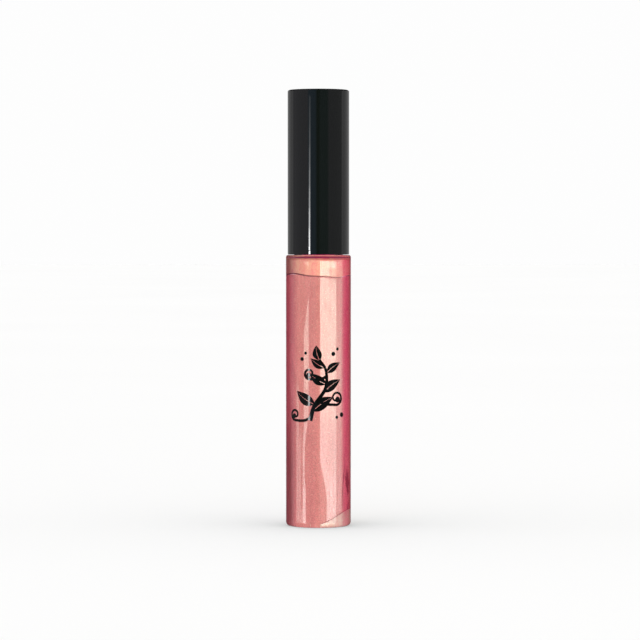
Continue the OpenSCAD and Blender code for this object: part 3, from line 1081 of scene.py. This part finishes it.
def by_azimuth(sky, azimuth, stops):
    """A colour for each azimuth, from stops of (azimuth, colour), the first at -180."""
    made = sky.fill("ValToRGB", sky.spread(azimuth, -180, 180, how="LINEAR"))
    elements = made.color_ramp.elements
    while len(elements) > 1:
        elements.remove(elements[-1])
    for i, (degrees, colour) in enumerate(stops):
        element = elements.new((degrees + 180) / 360) if i else elements[0]
        element.color = (*colour, 1)
    return made.outputs["Color"]


def cap_surroundings(sky, azimuth):
    """The dim studio that the cap mirrors."""
    dark, left_side, right_side = (0.05, 0.05, 0.05), (0.40, 0.40, 0.42), (0.30, 0.31, 0.31)
    middle, right = (0.06, 0.11, 0.06), (0.125, 0.20, 0.17)
    stops = [(-180, dark), (-118, dark), (-100, left_side), (-42, left_side), (-36, (0.20, 0.31, 0.39)),
             (-12, (0.18, 0.29, 0.36)), (-5, middle), (1, middle), (8, right), (34, right),
             (40, right_side), (92, right_side), (110, dark), (180, dark)]
    return sky.add("Background", 0, Color=by_azimuth(sky, azimuth, stops))


def gloss_surroundings(sky, azimuth, up):
    """The studio that lights what is behind the clear wall: rosy round the sides, dark behind,
    paler steeply above and below, with the soft boxes on top."""
    behind = (0.12, 0.04, 0.07)
    stops = [(-180, behind), (-165, (0.30, 0.12, 0.15)), (-146, (0.72, 0.42, 0.50)),
             (-123, (0.75, 0.50, 0.50)), (-100, (1.10, 0.88, 0.68)), (-50, (1.20, 1.00, 0.78)),
             (0, (1.45, 1.20, 0.92)), (40, (1.45, 1.18, 0.92)), (80, (1.50, 1.25, 1.05)),
             (115, (1.75, 1.38, 1.28)), (127, (1.35, 0.32, 0.60)), (150, (1.10, 0.10, 0.36)),
             (170, (0.62, 0.02, 0.17)), (180, behind)]
    rosy = by_azimuth(sky, azimuth, stops)
    left_end = sky.times(sky.spread(azimuth, -155, -125, 1.0, 0.0), sky.spread(up, -5.5, -2.0, 0.8, 0.2))
    rosy = sky.blend(left_end, rosy, (0.03, 0.01, 0.02))
    steep = sky.plus(sky.spread(up, 25, 40), sky.spread(up, -24, -12, 1.0, 0.0))
    around = sky.add("Background", 0, Color=sky.blend(steep, rosy, (1.42, 1.03, 1.22)),
                     Strength=sky.spread(up, -6.0, -2.5, 0.84, 1.0))
    pinker = sky.spread(up, -4.4, -3.3, 1.0, 0.0)
    boxes = sky.add("Background", 0, Color=sky.blend(pinker, (0.86, 1.0, 0.84), (0.87, 0.98, 0.94)),
                    Strength=soft_boxes(sky, azimuth, up))
    return sky.fill("AddShader", around, boxes).outputs[0]


def make_world():
    """White to the camera, also through the clear wall. Rays that have been turned back see one
    of two studios: the gloss's if they have passed through the wall, or else the cap's."""
    world = bpy.data.worlds.new("studio")
    bpy.context.scene.world = world
    world.use_nodes = True
    sky = Nodes(world.node_tree)
    shown = world.node_tree.nodes["Background"]
    shown.inputs["Color"].default_value = (0.985, 0.985, 0.985, 1)
    x, y, z = (sky.add("SeparateXYZ", axis, Vector=sky.add("TexCoord", "Generated")) for axis in "XYZ")
    azimuth = sky.maths("DEGREES", sky.maths("ARCTAN2", x, sky.times(y, -1.0)))
    up = sky.maths("DEGREES", sky.maths("ARCSINE", z))

    def ray(name):
        return sky.add("LightPath", name)

    turns = sky.plus(ray("Glossy Depth"), ray("Diffuse Depth"))
    straight = sky.plus(ray("Is Camera Ray"), ray("Is Transmission Ray"))
    turned_back = sky.maths("GREATER_THAN", sky.minus(turns, straight), -0.5)
    through = sky.maths("GREATER_THAN", ray("Transmission Depth"), 0.5)
    cap_studio, gloss_studio = cap_surroundings(sky, azimuth), gloss_surroundings(sky, azimuth, up)
    studio = sky.fill("MixShader", through, cap_studio, gloss_studio).outputs[0]
    mixed = sky.fill("MixShader", turned_back, shown.outputs[0], studio).outputs[0]
    sky.give(mixed, world.node_tree.nodes["World Output"].inputs["Surface"])


CAP_STRIP = (-36.3, -31.0)  # azimuths of the bright line down the cap
CAP_STRIP_LOW, CAP_STRIP_STEP, CAP_STRIP_LEAN = 0.060, 0.008, 0.22


def make_lights(floor, film, black_pieces, inside_pieces):
    """Lamps that add to the world's light. Each lights only the pieces that it is for."""
    black = receivers("lit_black", black_pieces)
    insides = receivers("lit_insides", inside_pieces)
    ground = receivers("lit_floor", [floor])
    on_film = receivers("lit_film", [film])

    fill = soft_light("film_fill", 0, 0.10, 0.6, (0.9, 0.5), 2.7, on_film, colour=(1.0, 0.78, 0.66))
    side = soft_light("film_side", 120, 0.10, 0.6, (0.5, 0.5), 2.2, on_film, colour=(1.0, 0.10, 0.40))
    for lamp in (fill, side):
        lamp.visible_glossy = False
        lamp.visible_transmission = False
        lamp.light_linking.blocker_collection = ground  # the cap's shade would make the film too dark
    band("cap_left", -180, -108, 0.40, black, distance=0.5)
    band("cap_right", 97, 180, 0.44, black, distance=0.5)
    start, end = CAP_STRIP
    for step in range(9):
        low = CAP_STRIP_LOW + CAP_STRIP_STEP * step
        fade = math.exp(-(low + 0.004 - 0.067) / 0.016)
        lean = CAP_STRIP_LEAN * step
        high = low + CAP_STRIP_STEP
        band(f"cap_strip_{step}", start + lean, end + lean, 26 * fade, black, low=low, high=high)
    band("cap_foot_strip", start, end, 26, black, low=0.040, high=CAP_STRIP_LOW)
    band("print_strip", start, -30.3, 30, black, low=-0.02, high=0.034)
    around = (("left", -50, 0.8, 3.0), ("right", 60, 0.9, 2.0), ("back", 180, 0.9, 1.5))
    for where, azimuth, distance, radiance in around:
        soft_light(f"insides_{where}", azimuth, 0.15, distance, (0.6, 0.8), radiance, insides)
    overhead = add_object("overhead", bpy.data.lights.new("overhead", "SUN"))
    overhead.data.energy = 2.74
    overhead.data.angle = math.radians(110)
    overhead.light_linking.receiver_collection = ground


make_camera()
bottle = make_bottle()
gloss_pieces = make_gloss()
film = make_film()
line = make_level_shade()
painted_light_pieces = make_painted_light()
dark_streaks = make_dark_streaks()
sprig = make_print()
make_wiper()
make_washer()
make_stem()
make_inner_cap()
cap = make_cap_shell()
make_applicator()

floor = make_floor()
make_world()
outer_pieces = (bottle, *gloss_pieces, film, line, *painted_light_pieces, dark_streaks, sprig, cap)
make_lights(floor, film, [cap, sprig], [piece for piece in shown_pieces() if piece not in outer_pieces])

scene = bpy.context.scene
scene.view_settings.view_transform = "Standard"
scene.cycles.caustics_refractive = False
scene.cycles.caustics_reflective = False
scene.cycles.max_bounces = 18
scene.cycles.glossy_bounces = 14
scene.cycles.transmission_bounces = 14
scene.cycles.transparent_max_bounces = 16
